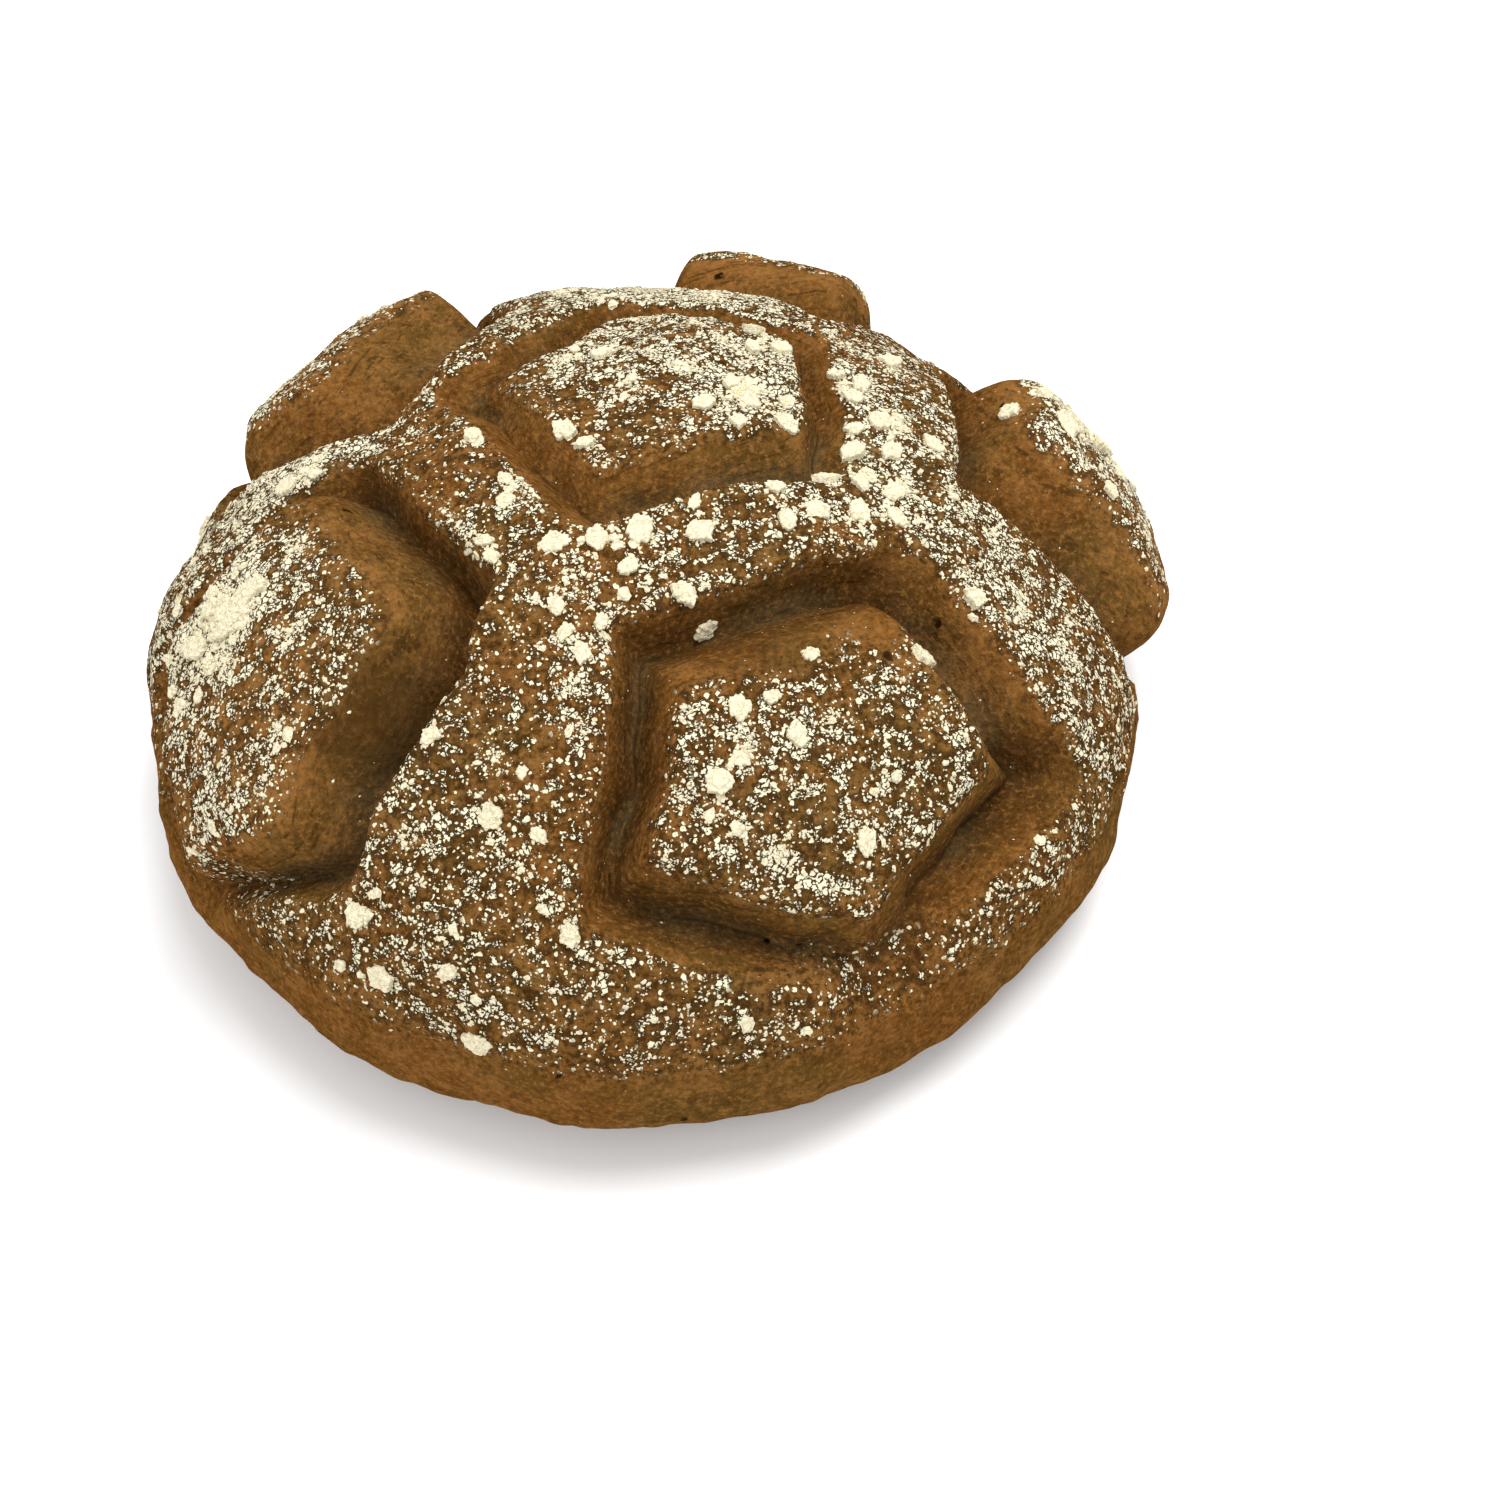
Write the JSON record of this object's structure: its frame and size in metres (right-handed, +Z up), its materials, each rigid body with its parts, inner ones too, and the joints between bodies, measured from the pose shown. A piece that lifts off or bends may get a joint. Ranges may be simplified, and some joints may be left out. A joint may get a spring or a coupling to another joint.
{
  "type": "round loaf of gluten-free bread",
  "caption": "Whole round gluten-free loaf with a dark floured crust pressed with pentagon patches that swelled up in baking.",
  "frame": {"origin": "on the flat base, under the middle of the round crust", "axes": "+Z up from the base; -Y towards the viewer of the picture, +X to the viewer's right"},
  "size_m": [0.2304, 0.2242, 0.0956],
  "materials": {
    "crust": "matte baked crust with flour on it"
  },
  "bodies": {
    "root": {"loaf": "crust"}
  },
  "joints": []
}
